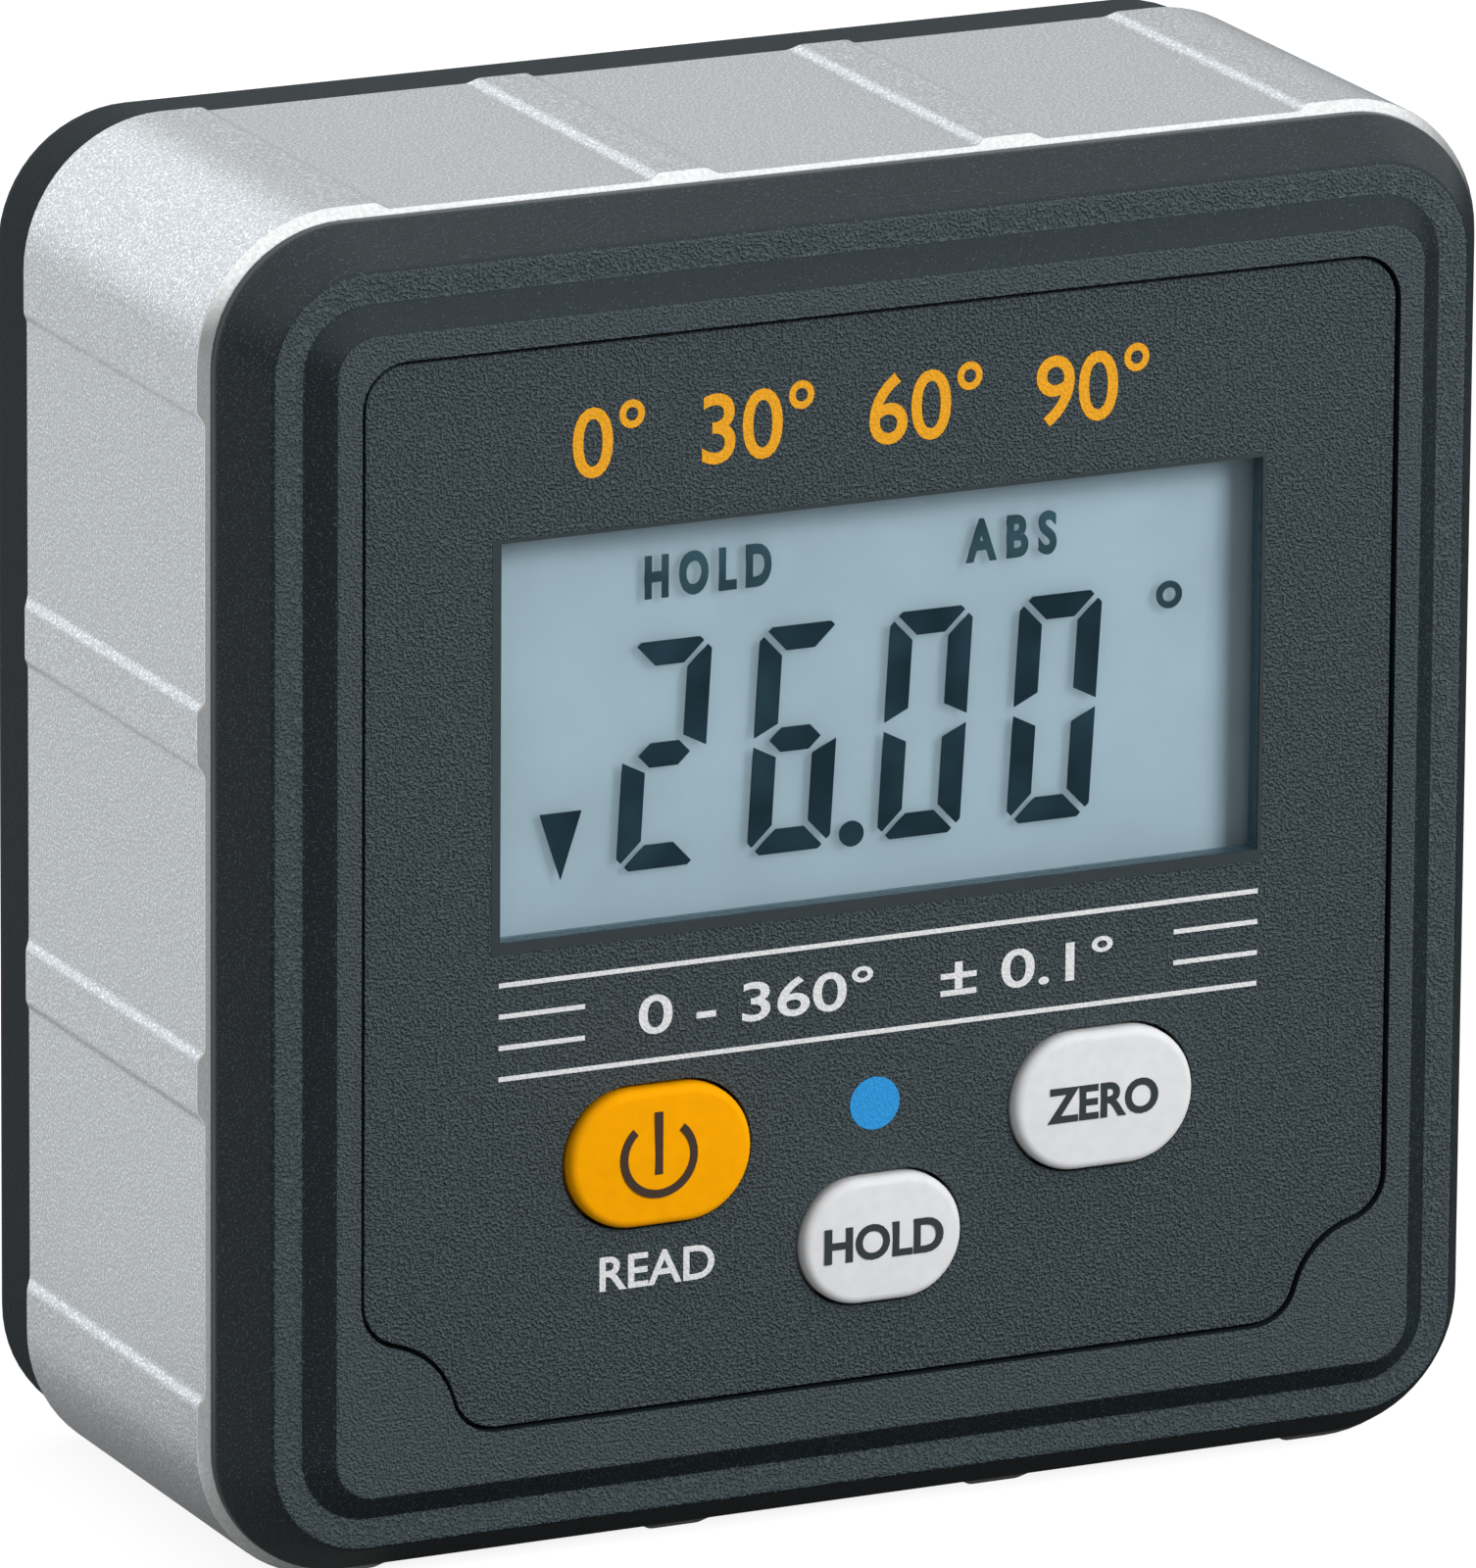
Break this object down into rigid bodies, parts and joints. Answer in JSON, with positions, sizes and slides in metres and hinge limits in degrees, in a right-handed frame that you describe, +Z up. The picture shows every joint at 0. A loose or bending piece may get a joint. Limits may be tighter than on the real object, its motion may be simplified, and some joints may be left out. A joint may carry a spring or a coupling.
{
  "type": "digital angle gauge",
  "caption": "Square box angle gauge with a ribbed aluminium measuring frame, stepped dark bezel, LCD window, press keys, magnetic base and rear battery door.",
  "frame": {"origin": "middle of the base, on the plane that the base ribs rest on", "axes": "+Z up, the display faces -Y, +X to the right of someone who reads the display"},
  "size_m": [0.059, 0.0274, 0.059],
  "materials": {
    "aluminium_frame": "bead-blasted, silver anodised",
    "slate_plastic": "dark slate, fine spark-eroded texture",
    "panel_plastic": "dark slate, leather-like texture",
    "clear_lens": "clear gloss",
    "display_glass": "clear",
    "reflector_film": "pale blue-grey satin",
    "light_guide": "milky",
    "contact_rubber": "soft",
    "board": "solder mask",
    "chip": "moulded epoxy",
    "amber_key": "satin, orange",
    "ivory_key": "satin, white",
    "switch_plastic": "satin",
    "screw_steel": "zinc plated",
    "cell_jacket": "gloss sleeve",
    "contact_metal": "nickel plated",
    "magnet": "nickel plated"
  },
  "bodies": {
    "housing": {"frame": "aluminium_frame", "front_bezel": "slate_plastic", "front_panel": "panel_plastic", "display_lens": "clear_lens", "lcd_front_glass": "display_glass", "lcd_rear_glass": "display_glass", "lcd_reflector": "reflector_film", "light_guide": "light_guide", "contact_strip": "contact_rubber", "main_board": "board", "microcontroller": "chip", "tilt_sensor": "chip", "radio_module": "chip", "power_switch": "switch_plastic", "hold_switch": "switch_plastic", "zero_switch": "switch_plastic", "board_screws": "screw_steel", "rear_cover": "slate_plastic", "upper_cell": "cell_jacket", "lower_cell": "cell_jacket", "contact_springs": "contact_metal", "contact_plates": "contact_metal", "cover_screws": "screw_steel", "base_magnets": "magnet"},
    "power_key": {"power_key": "amber_key", "power_plunger": "switch_plastic"},
    "hold_key": {"hold_key": "ivory_key", "hold_plunger": "switch_plastic"},
    "zero_key": {"zero_key": "ivory_key", "zero_plunger": "switch_plastic"},
    "battery_door": {"battery_door": "slate_plastic"}
  },
  "joints": [
    {"name": "power_press", "type": "slide", "parent": "housing", "child": "power_key", "axis": [0, 1, 0], "range_m": [0, 0.0005], "stiffness_N_per_m": 2000, "springref_m": -0.0002},
    {"name": "hold_press", "type": "slide", "parent": "housing", "child": "hold_key", "axis": [0, 1, 0], "range_m": [0, 0.0005], "stiffness_N_per_m": 2000, "springref_m": -0.0002},
    {"name": "zero_press", "type": "slide", "parent": "housing", "child": "zero_key", "axis": [0, 1, 0], "range_m": [0, 0.0005], "stiffness_N_per_m": 2000, "springref_m": -0.0002},
    {"name": "battery_door_lift", "type": "slide", "parent": "housing", "child": "battery_door", "axis": [0, 1, 0], "range_m": [0, 0.015]}
  ]
}
